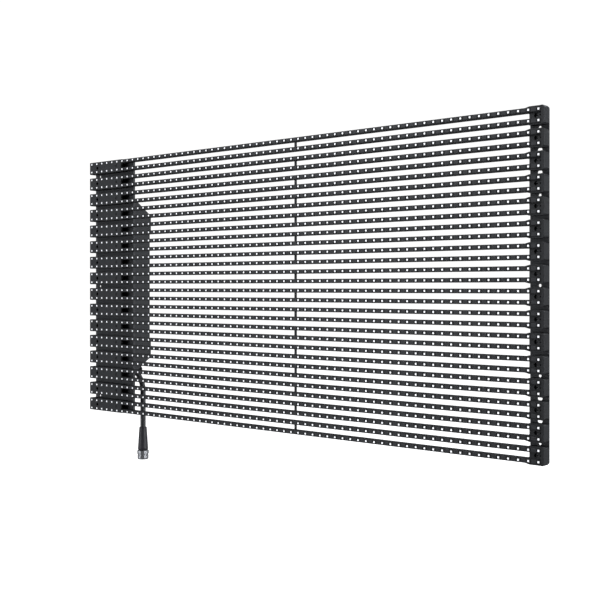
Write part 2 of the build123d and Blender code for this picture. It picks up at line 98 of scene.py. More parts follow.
class SurfaceGroups:
    """The shader groups, each built once and placed in every material that needs it."""

    _made: dict[str, bpy.types.NodeTree] = {}

    @classmethod
    def grain(cls) -> bpy.types.NodeTree:
        """Colour mottling, uneven gloss and a fine relief, all from Object coordinates.

        Returns:
            The group, with outputs Color, Roughness and Height.
        """
        if "grain" in cls._made:
            return cls._made["grain"]
        tree = new_group(
            "surface_grain",
            {
                "Color A": ("NodeSocketColor", (0.01, 0.01, 0.01, 1)),
                "Color B": ("NodeSocketColor", (0.02, 0.02, 0.02, 1)),
                "Blotch Scale": ("NodeSocketFloat", 40.0),
                "Relief Scale": ("NodeSocketFloat", 1500.0),
                "Roughness Low": ("NodeSocketFloat", 0.4),
                "Roughness High": ("NodeSocketFloat", 0.6),
            },
            {"Color": "NodeSocketColor", "Roughness": "NodeSocketFloat", "Height": "NodeSocketFloat"},
        )
        nodes, links = tree.nodes, tree.links
        given = nodes.new("NodeGroupInput")
        made = nodes.new("NodeGroupOutput")
        place = nodes.new("ShaderNodeTexCoord")
        blotch = nodes.new("ShaderNodeTexNoise")
        relief = nodes.new("ShaderNodeTexNoise")
        relief.inputs["Detail"].default_value = 4.0
        colour = nodes.new("ShaderNodeMix")
        colour.data_type = "RGBA"
        gloss = nodes.new("ShaderNodeMapRange")
        links.new(place.outputs["Object"], blotch.inputs["Vector"])
        links.new(place.outputs["Object"], relief.inputs["Vector"])
        links.new(given.outputs["Blotch Scale"], blotch.inputs["Scale"])
        links.new(given.outputs["Relief Scale"], relief.inputs["Scale"])
        links.new(blotch.outputs["Fac"], colour.inputs["Factor"])
        links.new(given.outputs["Color A"], colour.inputs["A"])
        links.new(given.outputs["Color B"], colour.inputs["B"])
        links.new(blotch.outputs["Fac"], gloss.inputs["Value"])
        links.new(given.outputs["Roughness Low"], gloss.inputs["To Min"])
        links.new(given.outputs["Roughness High"], gloss.inputs["To Max"])
        links.new(colour.outputs["Result"], made.inputs["Color"])
        links.new(gloss.outputs["Result"], made.inputs["Roughness"])
        links.new(relief.outputs["Fac"], made.inputs["Height"])
        cls._made["grain"] = tree
        return tree

    @classmethod
    def dust(cls) -> bpy.types.NodeTree:
        """A thin uneven film of dust on faces that look up.

        Returns:
            The group, with output Color.
        """
        if "dust" in cls._made:
            return cls._made["dust"]
        tree = new_group(
            "settled_dust",
            {
                "Color": ("NodeSocketColor", (0.01, 0.01, 0.01, 1)),
                "Dust Color": ("NodeSocketColor", (0.12, 0.12, 0.12, 1)),
                "Amount": ("NodeSocketFloat", 0.1),
                "Scale": ("NodeSocketFloat", 120.0),
            },
            {"Color": "NodeSocketColor"},
        )
        nodes, links = tree.nodes, tree.links
        given = nodes.new("NodeGroupInput")
        made = nodes.new("NodeGroupOutput")
        place = nodes.new("ShaderNodeTexCoord")
        noise = nodes.new("ShaderNodeTexNoise")
        surface = nodes.new("ShaderNodeNewGeometry")
        split = nodes.new("ShaderNodeSeparateXYZ")
        upward = nodes.new("ShaderNodeMapRange")
        upward.inputs["From Min"].default_value = 0.4
        share = nodes.new("ShaderNodeMath")
        share.operation = "MULTIPLY"
        amount = nodes.new("ShaderNodeMath")
        amount.operation = "MULTIPLY"
        colour = nodes.new("ShaderNodeMix")
        colour.data_type = "RGBA"
        links.new(place.outputs["Object"], noise.inputs["Vector"])
        links.new(given.outputs["Scale"], noise.inputs["Scale"])
        links.new(surface.outputs["Normal"], split.inputs["Vector"])
        links.new(split.outputs["Z"], upward.inputs["Value"])
        links.new(upward.outputs["Result"], share.inputs[0])
        links.new(noise.outputs["Fac"], share.inputs[1])
        links.new(share.outputs["Value"], amount.inputs[0])
        links.new(given.outputs["Amount"], amount.inputs[1])
        links.new(amount.outputs["Value"], colour.inputs["Factor"])
        links.new(given.outputs["Color"], colour.inputs["A"])
        links.new(given.outputs["Dust Color"], colour.inputs["B"])
        links.new(colour.outputs["Result"], made.inputs["Color"])
        cls._made["dust"] = tree
        return tree


@dataclass(frozen=True)
class Finish:
    """One finish of the panel: its colours, its gloss and its fine relief.

    Finishes are found again by their own register and not by name, because the frame's materials
    have names too.
    """

    RELIEF_SCALES: ClassVar[dict[Relief, float]] = {
        Relief.SMOOTH: 250.0,
        Relief.MOULDED: 1400.0,
        Relief.POWDER: 900.0,
    }
    BUMP_STRENGTH: ClassVar[float] = 0.5
    _made: ClassVar[dict[str, bpy.types.Material]] = {}

    name: str
    slot: str
    colour_a: Colour
    colour_b: Colour
    roughness: tuple[float, float] = (0.45, 0.6)
    specular: float = 0.4
    metallic: float = 0.0
    relief: Relief = Relief.MOULDED
    relief_depth: float = 0.02
    blotch_scale: float = 45.0
    dust: float = 0.0
    emission: float = 0.0

    def relief_scale(self) -> float:
        """How fine the relief is, in noise cells to the metre."""
        return self.RELIEF_SCALES[self.relief]

    def material(self) -> bpy.types.Material:
        """Builds the finish's material, or gives the one built before.

        Returns:
            The material.
        """
        if self.name in self._made:
            return self._made[self.name]
        made = bpy.data.materials.new(self.name)
        self._made[self.name] = made
        made.use_nodes = True
        nodes, links = made.node_tree.nodes, made.node_tree.links
        shader = nodes["Principled BSDF"]
        shader.inputs["Metallic"].default_value = self.metallic
        shader.inputs["Specular IOR Level"].default_value = self.specular
        grain = nodes.new("ShaderNodeGroup")
        grain.node_tree = SurfaceGroups.grain()
        grain.inputs["Color A"].default_value = (*self.colour_a, 1)
        grain.inputs["Color B"].default_value = (*self.colour_b, 1)
        grain.inputs["Blotch Scale"].default_value = self.blotch_scale
        grain.inputs["Relief Scale"].default_value = self.relief_scale()
        grain.inputs["Roughness Low"].default_value = self.roughness[0]
        grain.inputs["Roughness High"].default_value = self.roughness[1]
        bump = nodes.new("ShaderNodeBump")
        bump.inputs["Strength"].default_value = self.BUMP_STRENGTH
        bump.inputs["Distance"].default_value = self.relief_depth * MM
        links.new(grain.outputs["Height"], bump.inputs["Height"])
        links.new(bump.outputs["Normal"], shader.inputs["Normal"])
        links.new(grain.outputs["Roughness"], shader.inputs["Roughness"])
        colour = grain.outputs["Color"]
        if self.dust > 0:
            film = nodes.new("ShaderNodeGroup")
            film.node_tree = SurfaceGroups.dust()
            film.inputs["Amount"].default_value = self.dust
            links.new(colour, film.inputs["Color"])
            colour = film.outputs["Color"]
        links.new(colour, shader.inputs["Base Color"])
        if self.emission > 0:
            links.new(colour, shader.inputs["Emission Color"])
            shader.inputs["Emission Strength"].default_value = self.emission
        return made

    def dress(self, obj: bpy.types.Object) -> bpy.types.Object:
        """Gives an object this finish alone."""
        obj.data.materials.clear()
        obj.data.materials.append(self.material())
        return obj


CASE = Finish("case_moulding", "case_plastic", (0.017, 0.0175, 0.019), (0.027, 0.0275, 0.030), dust=0.06)
BOARD = Finish(
    "board_resist",
    "led_board",
    (0.017, 0.0175, 0.0195),
    (0.034, 0.0345, 0.038),
    (0.46, 0.62),
    0.4,
    relief_depth=0.012,
    blotch_scale=260.0,
)
# Black resin round each LED on the bars; its near-black tone also paints the shade that falls round each LED.
COLLAR_AND_SHADE = Finish(
    "led_collar_black_and_shade", "led_board", (0.003, 0.003, 0.003), (0.005, 0.005, 0.005), (0.35, 0.5), 0.3
)
PAD = Finish(
    "strip_pad_grey", "led_board", (0.023, 0.0235, 0.0265), (0.032, 0.0325, 0.0365), (0.4, 0.55), 0.45
)
LED_BODY = Finish(
    "led_white_frame",
    "led_board",
    (0.80, 0.80, 0.79),
    (0.86, 0.86, 0.85),
    (0.35, 0.45),
    0.5,
    relief_depth=0.004,
)
LED_WINDOW = Finish(
    "led_lit_window",
    "led_board",
    (0.93, 0.95, 1.0),
    (1.0, 1.0, 1.0),
    (0.2, 0.3),
    0.5,
    relief=Relief.SMOOTH,
    relief_depth=0.003,
    emission=0.9,
)
RAIL = Finish(
    "rail_powder_coat",
    "rail",
    (0.065, 0.066, 0.071),
    (0.085, 0.086, 0.092),
    (0.42, 0.58),
    0.45,
    relief=Relief.POWDER,
    relief_depth=0.03,
    dust=0.05,
)
BOX = Finish(
    "box_powder_coat",
    "box",
    (0.034, 0.035, 0.038),
    (0.053, 0.054, 0.058),
    (0.42, 0.58),
    0.45,
    relief=Relief.POWDER,
    relief_depth=0.03,
    dust=0.06,
)
SCREW = Finish(
    "black_zinc_screw",
    "screw",
    (0.05, 0.05, 0.052),
    (0.09, 0.09, 0.092),
    (0.3, 0.45),
    0.5,
    metallic=0.9,
    relief=Relief.SMOOTH,
    relief_depth=0.01,
)
SEAL = Finish("gasket_rubber", "seal", (0.012, 0.012, 0.012), (0.018, 0.018, 0.018), (0.7, 0.85), 0.3)
STANDOFF = Finish(
    "brass_standoff", "standoff", (0.55, 0.4, 0.16), (0.64, 0.48, 0.2), (0.25, 0.38), 0.5, metallic=1.0,
    relief=Relief.SMOOTH, relief_depth=0.005,
)
SUPPLY = Finish(
    "supply_sheet", "supply_case", (0.52, 0.52, 0.53), (0.6, 0.6, 0.61), (0.35, 0.5), 0.5, metallic=1.0,
    relief=Relief.SMOOTH, relief_depth=0.01,
)
CIRCUIT = Finish(
    "circuit_resist", "circuit_board", (0.012, 0.085, 0.03), (0.02, 0.12, 0.045), (0.3, 0.42), 0.5,
    relief_depth=0.008,
)
GLAND = Finish("gland_nylon", "gland", (0.014, 0.0145, 0.016), (0.022, 0.0225, 0.025), (0.4, 0.55), 0.45)
JACKET = Finish(
    "jacket_rubber", "cord_jacket", (0.028, 0.0285, 0.030), (0.042, 0.0425, 0.045), (0.3, 0.4), 0.6
)
PLUG = Finish(
    "plug_soft_moulding", "plug_moulding", (0.028, 0.0258, 0.0315), (0.040, 0.0372, 0.0445), (0.38, 0.48), 0.6
)
CONTACT = Finish(
    "gilt_contact", "contact", (0.75, 0.56, 0.22), (0.82, 0.62, 0.27), (0.2, 0.3), 0.5, metallic=1.0,
    relief=Relief.SMOOTH, relief_depth=0.003,
)
NICKEL = Finish(
    "nickel_nut", "nut_metal", (0.50, 0.50, 0.515), (0.60, 0.60, 0.615), (0.2, 0.3), 0.5, metallic=1.0,
    relief=Relief.SMOOTH, relief_depth=0.006,
)


# Mesh helpers


def mesh_object(name: str, mesh: bpy.types.Mesh) -> bpy.types.Object:
    """Links a new object, unturned at the origin, for a mesh."""
    obj = bpy.data.objects.new(name, mesh)
    bpy.context.scene.collection.objects.link(obj)
    return obj


def from_bmesh(name: str, bm: bmesh.types.BMesh) -> bpy.types.Object:
    """Turns a bmesh into an object with its faces pointing outwards.

    Args:
        name: the object's name.
        bm: the mesh, freed here.

    Returns:
        The new object.
    """
    bmesh.ops.remove_doubles(bm, verts=bm.verts, dist=1e-7)
    bmesh.ops.recalc_face_normals(bm, faces=bm.faces)
    mesh = bpy.data.meshes.new(name)
    bm.to_mesh(mesh)
    bm.free()
    return mesh_object(name, mesh)


def join_rings(bm: bmesh.types.BMesh, low: list[bmesh.types.BMVert], high: list[bmesh.types.BMVert]) -> None:
    """Adds the faces between two rings, either of which may be a single pole."""
    count = max(len(low), len(high))
    for i in range(count):
        j = (i + 1) % count
        if len(low) == 1:
            bm.faces.new((low[0], high[j], high[i]))
        elif len(high) == 1:
            bm.faces.new((low[i], low[j], high[0]))
        else:
            bm.faces.new((low[i], low[j], high[j], high[i]))


def stacked(name: str, rings: list[list[Point]]) -> bpy.types.Object:
    """A closed shell through rings of points, capped at both ends.

    Args:
        name: the object's name.
        rings: rings of equally many points, from one end to the other.

    Returns:
        The new object.
    """
    bm = bmesh.new()
    made = [[bm.verts.new(p) for p in ring] for ring in rings]
    for low, high in zip(made, made[1:]):
        join_rings(bm, low, high)
    bm.faces.new(made[0])
    bm.faces.new(made[-1])
    return from_bmesh(name, bm)


def rectangle(width: float, height: float, y: float) -> list[Point]:
    """The corners of an upright rectangle at depth y, centred on the Y axis."""
    return [(sx * width / 2, y, sz * height / 2) for sx, sz in ((-1, -1), (1, -1), (1, 1), (-1, 1))]


def ring(radius: float, y: float, count: int, turn: float = 0.0) -> list[Point]:
    """Points of a regular polygon about the Y axis."""
    step = math.tau / count
    return [(radius * math.cos(turn + i * step), y, radius * math.sin(turn + i * step)) for i in range(count)]


def turned(
    name: str,
    profile: Profile,
    centre: Vector,
    axis: Vector,
    segments: int,
    shape: Callable[[float, int], float] | None = None,
    through: bool = False,
) -> bpy.types.Object:
    """A piece turned about an axis.

    Args:
        name: the object's name.
        profile: (radius, distance along the axis), from pole to pole, or round the section of a piece
            with a hole right through.
        centre: where distance 0 is.
        axis: unit vector along which distance grows.
        segments: how many steps make the turn.
        shape: what to add to a radius, from the angle and the profile point's number.
        through: whether the profile goes round a section, so that its last point joins its first.

    Returns:
        The new closed object.
    """
    across = Vector((1, 0, 0))
    beside = axis.cross(across)
    bm = bmesh.new()
    rings = []
    for number, (radius, along) in enumerate(profile):
        here = centre + axis * along
        if radius <= 0:
            rings.append([bm.verts.new(here)])
            continue
        spots = []
        for i in range(segments):
            angle = math.tau * i / segments
            reach = radius + (shape(angle, number) if shape else 0.0)
            spots.append(bm.verts.new(here + (across * math.cos(angle) + beside * math.sin(angle)) * reach))
        rings.append(spots)
    following = rings[1:] + rings[:1] if through else rings[1:]
    for low, high in zip(rings, following):
        join_rings(bm, low, high)
    return from_bmesh(name, bm)


def hexagon_reach(angle: float, flat: float) -> float:
    """How far out a hexagon's edge lies at an angle, from its reach to a flat."""
    within = (angle % (math.pi / 3)) - math.pi / 6
    return flat / math.cos(within)


def shade_by_angle(obj: bpy.types.Object, degrees: float = 35.0) -> bpy.types.Object:
    """Smooth shading, with edges over an angle kept sharp."""
    mesh = obj.data
    mesh.polygons.foreach_set("use_smooth", [True] * len(mesh.polygons))
    mesh.set_sharp_from_angle(angle=math.radians(degrees))
    return obj


class GridTree:
    """Geometry Nodes that set a stamp on every point of an upright grid."""

    FIELDS = (
        ("Stamp", "NodeSocketObject"),
        ("Columns", "NodeSocketInt"),
        ("Rows", "NodeSocketInt"),
        ("Width", "NodeSocketFloat"),
        ("Height", "NodeSocketFloat"),
        ("Centre", "NodeSocketVector"),
        ("Material", "NodeSocketMaterial"),
    )

    def __init__(self) -> None:
        """Builds the tree once."""
        self.tree = bpy.data.node_groups.new("upright_grid", "GeometryNodeTree")
        face = self.tree.interface
        face.new_socket("Geometry", in_out="OUTPUT", socket_type="NodeSocketGeometry")
        self.sockets = {
            label: face.new_socket(label, in_out="INPUT", socket_type=kind).identifier
            for label, kind in self.FIELDS
        }
        nodes, links = self.tree.nodes, self.tree.links
        given = nodes.new("NodeGroupInput")
        made = nodes.new("NodeGroupOutput")
        grid = nodes.new("GeometryNodeMeshGrid")
        stand = nodes.new("GeometryNodeTransform")
        stand.inputs["Rotation"].default_value = (math.pi / 2, 0, 0)
        info = nodes.new("GeometryNodeObjectInfo")
        info.inputs["As Instance"].default_value = True
        place = nodes.new("GeometryNodeInstanceOnPoints")
        realize = nodes.new("GeometryNodeRealizeInstances")
        paint = nodes.new("GeometryNodeSetMaterial")
        links.new(given.outputs["Columns"], grid.inputs["Vertices X"])
        links.new(given.outputs["Rows"], grid.inputs["Vertices Y"])
        links.new(given.outputs["Width"], grid.inputs["Size X"])
        links.new(given.outputs["Height"], grid.inputs["Size Y"])
        links.new(grid.outputs["Mesh"], stand.inputs["Geometry"])
        links.new(given.outputs["Centre"], stand.inputs["Translation"])
        links.new(stand.outputs["Geometry"], place.inputs["Points"])
        links.new(given.outputs["Stamp"], info.inputs["Object"])
        links.new(info.outputs["Geometry"], place.inputs["Instance"])
        links.new(place.outputs["Instances"], realize.inputs["Geometry"])
        links.new(realize.outputs["Geometry"], paint.inputs["Geometry"])
        links.new(given.outputs["Material"], paint.inputs["Material"])
        links.new(paint.outputs["Geometry"], made.inputs["Geometry"])

    def lay(
        self,
        name: str,
        stamp: bpy.types.Object,
        columns: int,
        rows: int,
        low: Point,
        high: Point,
        finish: Finish,
    ) -> bpy.types.Object:
        """Repeats a stamp from a grid's low corner to its high one, as one plain mesh.

        Args:
            name: the new piece's name.
            stamp: what is repeated, modelled round the origin; it is removed here.
            columns: stamps along X.
            rows: stamps along Z.
            low: the grid's corner with the lowest X and Z.
            high: the grid's corner with the highest X and Z.
            finish: the piece's finish.

        Returns:
            The finished piece, not yet riding on a body.
        """
        carrier = mesh_object(name + "_grid", bpy.data.meshes.new(name + "_grid"))
        modifier = carrier.modifiers.new("grid", "NODES")
        modifier.node_group = self.tree
        values = {
            "Stamp": stamp,
            "Columns": columns,
            "Rows": rows,
            "Width": high[0] - low[0],
            "Height": high[2] - low[2],
            "Centre": tuple((a + b) / 2 for a, b in zip(low, high)),
            "Material": finish.material(),
        }
        for label, value in values.items():
            modifier[self.sockets[label]] = value
        graph = bpy.context.evaluated_depsgraph_get()
        mesh = bpy.data.meshes.new_from_object(carrier.evaluated_get(graph))
        mesh.name = name
        bpy.data.objects.remove(carrier)
        bpy.data.objects.remove(stamp)
        return finish.dress(mesh_object(name, mesh))


def report(piece: bpy.types.Object) -> bpy.types.Object:
    """Logs a piece's name and size in faces."""
    faces = len(piece.data.polygons) if piece.type == "MESH" else 0
    LOG.info("%s: %d faces", piece.name, faces)
    return piece


@dataclass
class PixelGrid:
    """Where the LEDs stand, read from the frame."""

    columns: int = 64
    rows: int = 32
    left: float = field(init=False)
    top: float = field(init=False)
    pitch: float = field(init=False)
    front: float = field(init=False)

    def __post_init__(self) -> None:
        """Takes the panel's outline from the cases and the board's front from a board."""
        low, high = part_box("module_01_case")
        self.left = low[0]
        self.pitch = (high[0] - low[0]) / self.columns
        self.top = self.rows * self.pitch / 2
        self.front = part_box("module_01_board")[0][1]

    def spot(self, column: float, row: float) -> Point:
        """A place on the boards' front, in pitches from the first column and the top row."""
        return (self.left + (column + 0.5) * self.pitch, self.front, self.top - (row + 0.5) * self.pitch)


@dataclass
class LitStrips:
    """LED packages with their black collars, whose near-black tone also paints the shade round each LED, and
    the raised pads between them on the bars.
    """

    grid: PixelGrid
    trees: GridTree
    led_width: float = 3.2 * MM
    led_height: float = 1.0 * MM
    led_edge: float = 0.15 * MM
    window_width: float = 2.4 * MM
    window_sink: float = 0.1 * MM
    window_crown: float = 0.06 * MM
    window_crown_share: float = 0.7
    window_rim_share: float = 0.2
    collar: tuple[float, float, float] = (7.0 * MM, 6.0 * MM, 0.25 * MM)
    pad: tuple[float, float, float] = (8.2 * MM, 5.2 * MM, 0.4 * MM)
    pad_edge: float = 0.3 * MM
    collar_edge_share: float = 0.5
    first_bar_column: int = 6

    def led_stamp(self) -> bpy.types.Object:
        """A white package whose top is sunk inside its rim."""
        inner = self.led_width - 2 * self.led_edge
        return stacked(
            "led_stamp",
            [
                rectangle(self.led_width, self.led_width, 0),
                rectangle(self.led_width, self.led_width, self.led_edge - self.led_height),
                rectangle(inner, inner, -self.led_height),
                rectangle(self.window_width, self.window_width, -self.led_height),
                rectangle(self.window_width, self.window_width, self.window_sink - self.led_height),
            ],
        )

    def window_stamp(self) -> bpy.types.Object:
        """The clear window, a little crowned."""
        floor = self.window_sink - self.led_height
        crown = self.window_width * self.window_crown_share
        return stacked(
            "window_stamp",
            [
                rectangle(self.window_width, self.window_width, floor),
                rectangle(
                    self.window_width,
                    self.window_width,
                    floor - self.window_rim_share * self.window_crown,
                ),
                rectangle(crown, crown, floor - self.window_crown),
            ],
        )

    def plate_stamp(self, name: str, size: tuple[float, float, float], edge: float) -> bpy.types.Object:
        """A flat plate with its front edges broken.

        Args:
            name: the stamp's name.
            size: width, height and thickness.
            edge: width of the broken edge.

        Returns:
            The stamp, its back on the boards' front.
        """
        width, height, thick = size
        return stacked(
            name,
            [
                rectangle(width, height, 0),
                rectangle(width, height, edge / 2 - thick),
                rectangle(width - 2 * edge, height - 2 * edge, -thick),
            ],
        )

    def build(self) -> list[bpy.types.Object]:
        """Lays all four kinds of piece over the panel.

        Returns:
            The new pieces.
        """
        g, first = self.grid, self.first_bar_column
        last_column, last_row = g.columns - 1, g.rows - 1
        bars = g.columns - first
        collar = self.plate_stamp("collar_stamp", self.collar, self.collar_edge_share * self.pad_edge)
        pad = self.plate_stamp("pad_stamp", self.pad, self.pad_edge)
        whole = (g.spot(0, last_row), g.spot(last_column, 0))
        pieces = [
            self.trees.lay("led_frames", self.led_stamp(), g.columns, g.rows, *whole, LED_BODY),
            self.trees.lay("led_windows", self.window_stamp(), g.columns, g.rows, *whole, LED_WINDOW),
            # The collars' near-black finish is partly painted shade round the LEDs.
            self.trees.lay(
                "led_collars", collar, bars, g.rows, g.spot(first, last_row), g.spot(last_column, 0), COLLAR_AND_SHADE
            ),
            self.trees.lay(
                "strip_pads",
                pad,
                bars - 1,
                g.rows,
                g.spot(first + 0.5, last_row),
                g.spot(last_column - 0.5, 0),
                PAD,
            ),
        ]
        return [report(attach(piece, PANEL_BODY)) for piece in pieces]


@dataclass
class SocketScrews:
    """Socket-head screws on a grid, in place of the frame's plain ones."""

    trees: GridTree
    name: str
    replaced: tuple[str, ...]
    columns: int
    rows: int
    head_radius: float
    head_height: float
    shank_radius: float
    shank_length: float
    toward: float
    segments: int = 20
    socket_share: float = 0.5
    socket_floor_share: float = 0.4
    tip_share: float = 0.7
    edge: float = 0.25 * MM
    frame_flat_reach: float = 2.75 * MM
    sharp_degrees: float = 40.0

    def stamp(self) -> bpy.types.Object:
        """One screw along Y: its seat is at 0 and its head stands towards `toward`."""
        away = self.toward
        n, socket = self.segments, self.head_radius * self.socket_share
        rings = [
            ring(self.shank_radius * self.tip_share, -away * self.shank_length, n),
            ring(self.shank_radius, -away * (self.shank_length - self.edge), n),
            ring(self.shank_radius, 0, n),
            ring(self.head_radius, 0, n),
            ring(self.head_radius, away * (self.head_height - self.edge), n),
            ring(self.head_radius - self.edge, away * self.head_height, n),
            hexagon_ring(socket, away * self.head_height, n),
            hexagon_ring(socket, away * self.head_height * self.socket_floor_share, n),
        ]
        return stacked(self.name + "_stamp", rings)

    def build(self) -> bpy.types.Object:
        """Sets the screws where the frame has them.

        Returns:
            The new piece.
        """
        boxes = [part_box(node) for node in self.replaced]
        low = [min(b[0][k] for b in boxes) for k in range(3)]
        high = [max(b[1][k] for b in boxes) for k in range(3)]
        across = self.frame_flat_reach / math.cos(math.pi / 6)
        if len(boxes) == 2:
            across = (boxes[0][1][0] - boxes[0][0][0]) / 2
        upright = self.frame_flat_reach
        seat = low[1] + self.head_height if self.toward < 0 else high[1] - self.head_height
        piece = self.trees.lay(
            self.name,
            self.stamp(),
            self.columns,
            self.rows,
            (low[0] + across, seat, low[2] + upright),
            (high[0] - across, seat, high[2] - upright),
            SCREW,
        )
        shade_by_angle(piece, self.sharp_degrees)
        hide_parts(*self.replaced)
        return report(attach(piece, PANEL_BODY))


def hexagon_ring(radius: float, y: float, count: int) -> list[Point]:
    """Points spread round a hexagon about the Y axis, matched to a circle of as many points.

    Args:
        radius: the hexagon's corner radius.
        y: where it stands on the axis.
        count: how many points.

    Returns:
        The points.
    """
    points = []
    flat = radius * math.cos(math.pi / 6)
    for i in range(count):
        angle = math.tau * i / count
        reach = hexagon_reach(angle, flat)
        points.append((reach * math.cos(angle), y, reach * math.sin(angle)))
    return points


@dataclass
class GlandCap:
    """A hexagonal cap with broken corners and a domed mouth round the cord's start."""

    length: float = 8.8 * MM
    neck_radius: float = 9.0 * MM
    neck_length: float = 2.4 * MM
    straight: float = 6.2 * MM
    flat: float = 12.0 * MM
    corner: float = 13.3 * MM
    edge: float = 0.5 * MM
    edge_share: float = 0.9
    mouth: float = 6.6 * MM
    bore: float = 5.5 * MM
    bore_depth: float = 3.0 * MM
    dome_steps: int = 8
    segments: int = 96
    sharp_degrees: float = 25.0

    def profile(self) -> tuple[Profile, dict[int, float]]:
        """The cap's profile from its lower pole to the floor of its bore.

        Returns:
            The profile, and how hexagonal each of its points is, by number.
        """
        flat, rise = self.flat, self.neck_length
        points = [
            (0.0, 0.0),
            (self.neck_radius, 0.0),
            (self.neck_radius, rise),
            (flat - self.edge, rise),
            (flat, rise + self.edge),
            (flat, self.straight),
        ]
        hexagonal = {3: self.edge_share, 4: 1.0, 5: 1.0}
        for i in range(1, self.dome_steps + 1):
            bend = math.pi / 2 * i / self.dome_steps
            radius = self.mouth + (flat - self.mouth) * math.cos(bend)
            points.append((radius, self.straight + (self.length - self.straight) * math.sin(bend)))
            hexagonal[len(points) - 1] = math.cos(bend)
        floor = self.length - self.bore_depth
        points += [(self.bore, self.length - self.edge), (self.bore, floor), (0.0, floor)]
        return points, hexagonal

    def build(self, end: Vector, along: Vector) -> bpy.types.Object:
        """Makes the cap, which replaces the frame's plain one.

        Args:
            end: where the cord leaves the cap.
            along: the cord's direction there.

        Returns:
            The piece.
        """
        points, hexagonal = self.profile()

        def corners(angle: float, number: int) -> float:
            """How far the hexagon stands outside its inner circle, with its corners broken."""
            reach = min(hexagon_reach(angle, self.flat), self.corner)
            return (reach - self.flat) * hexagonal.get(number, 0.0)

        base = end - along * self.length
        piece = turned("hexagonal_gland_cap", points, base, along, self.segments, corners)
        GLAND.dress(shade_by_angle(piece, self.sharp_degrees))
        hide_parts("gland_cap")
        return report(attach(piece, PANEL_BODY))


@dataclass
class MouldedPlug:
    """The flared boot with the plug's spigot, body and open nose."""

    boot_length: float = 45.6 * MM
    boot_rim: tuple[tuple[float, float], ...] = ((5.7, -0.2), (6.8, 0.1))
    boot_foot: tuple[tuple[float, float], ...] = ((10.0, -1.2), (9.4, -0.3), (8.8, 0.0))
    flare_top: float = 7.4 * MM
    flare_end: float = 10.2 * MM
    flare_start: float = 1.0 * MM
    flare_short: float = 3.2 * MM
    flare_steps: int = 10
    spigot_radius: float = 7.5 * MM
    body_radius: float = 9.2 * MM
    body_edge: float = 0.2 * MM
    body_from_boot: float = 3.3 * MM
    nose_from_boot: float = 16.9 * MM
    nose_edge: float = 0.3 * MM
    socket_radius: float = 7.0 * MM
    socket_depth: float = 8.0 * MM
    segments: int = 64
    sharp_degrees: float = 30.0

    def profile(self) -> Profile:
        """The plug's profile from the cord's end to the floor of its socket."""
        boot, edge = self.boot_length, self.body_edge
        body, nose = boot + self.body_from_boot, boot + self.nose_from_boot
        floor = nose - self.socket_depth
        rim = [(radius * MM, along * MM) for radius, along in self.boot_rim]
        points = [(0.0, rim[0][1]), *rim, (self.flare_top, self.flare_start)]
        for i in range(1, self.flare_steps + 1):
            share = i / self.flare_steps
            radius = self.flare_top + (self.flare_end - self.flare_top) * share
            points.append((radius, self.flare_start + (boot - self.flare_short) * share))
        points += [(radius * MM, boot + along * MM) for radius, along in self.boot_foot]
        return points + [
            (self.spigot_radius, boot),
            (self.spigot_radius, body),
            (self.body_radius - edge, body),
            (self.body_radius, body + edge),
            (self.body_radius, nose - self.nose_edge),
            (self.body_radius - self.nose_edge, nose),
            (self.socket_radius + edge, nose),
            (self.socket_radius, nose - edge),
            (self.socket_radius, floor),
            (0.0, floor),
        ]

    def build(self, top: Vector) -> bpy.types.Object:
        """Makes the plug below the cord's end, in place of the frame's plug.

        Args:
            top: the cord's end.

        Returns:
            The piece.
        """
        piece = turned("moulded_plug", self.profile(), top, DOWN, self.segments)
        PLUG.dress(shade_by_angle(piece, self.sharp_degrees))
        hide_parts("cord_plug")
        return report(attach(piece, PANEL_BODY))


@dataclass
class CouplingNut:
    """The knurled coupling nut, with a groove below its flange and a rounded foot."""

    flange: float = 11.5 * MM
    skirt: float = 10.9 * MM
    groove: float = 10.2 * MM
    bore: float = 9.3 * MM
    lip: float = 7.6 * MM
    lip_height: float = 2.4 * MM
    knurls: int = 36
    steps_per_knurl: int = 6
    flange_knurl: float = 0.08 * MM
    skirt_knurl: float = 0.07 * MM
    sharp_degrees: float = 12.0

    FLANGE_POINTS: ClassVar[tuple[int, ...]] = (3, 4)
    SKIRT_POINTS: ClassVar[tuple[int, ...]] = (8, 9)

    def outline(self, length: float) -> Profile:
        """The nut's section, as (radius, distance from its upper end), for a nut of a given length."""
        return [
            (self.lip, 0.0),
            (self.flange - 0.9 * MM, 0.0),
            (self.flange - 0.2 * MM, 0.5 * MM),
            (self.flange, 1.1 * MM),
            (self.flange, 6.4 * MM),
            (self.flange - 0.4 * MM, 7.1 * MM),
            (self.groove, 7.4 * MM),
            (self.groove, 9.2 * MM),
            (self.skirt, 9.6 * MM),
            (self.skirt, length - 2.0 * MM),
            (self.skirt - 0.5 * MM, length - 0.8 * MM),
            (self.skirt - 1.2 * MM, length),
            (self.bore, length),
            (self.bore, self.lip_height),
            (self.lip, self.lip_height),
        ]

    def knurl(self, angle: float, number: int) -> float:
        """Shallow grooves down the flange and finer ones down the skirt."""
        wave = 0.5 + 0.5 * math.cos(self.knurls * angle)
        if number in self.FLANGE_POINTS:
            return -self.flange_knurl * wave
        if number in self.SKIRT_POINTS:
            return -self.skirt_knurl * wave
        return 0.0

    def build(self, x: float) -> bpy.types.Object:
        """Makes the nut, which replaces the frame's nut and turns with it.

        Args:
            x: where the nut's axis stands.

        Returns:
            The piece.
        """
        low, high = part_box("coupling_nut")
        start = Vector((x, (low[1] + high[1]) / 2, high[2]))
        section = self.outline(high[2] - low[2])
        segments = self.knurls * self.steps_per_knurl
        piece = turned("knurled_nut", section, start, DOWN, segments, self.knurl, through=True)
        NICKEL.dress(shade_by_angle(piece, self.sharp_degrees))
        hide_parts("coupling_nut")
        return report(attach(piece, NUT_BODY))


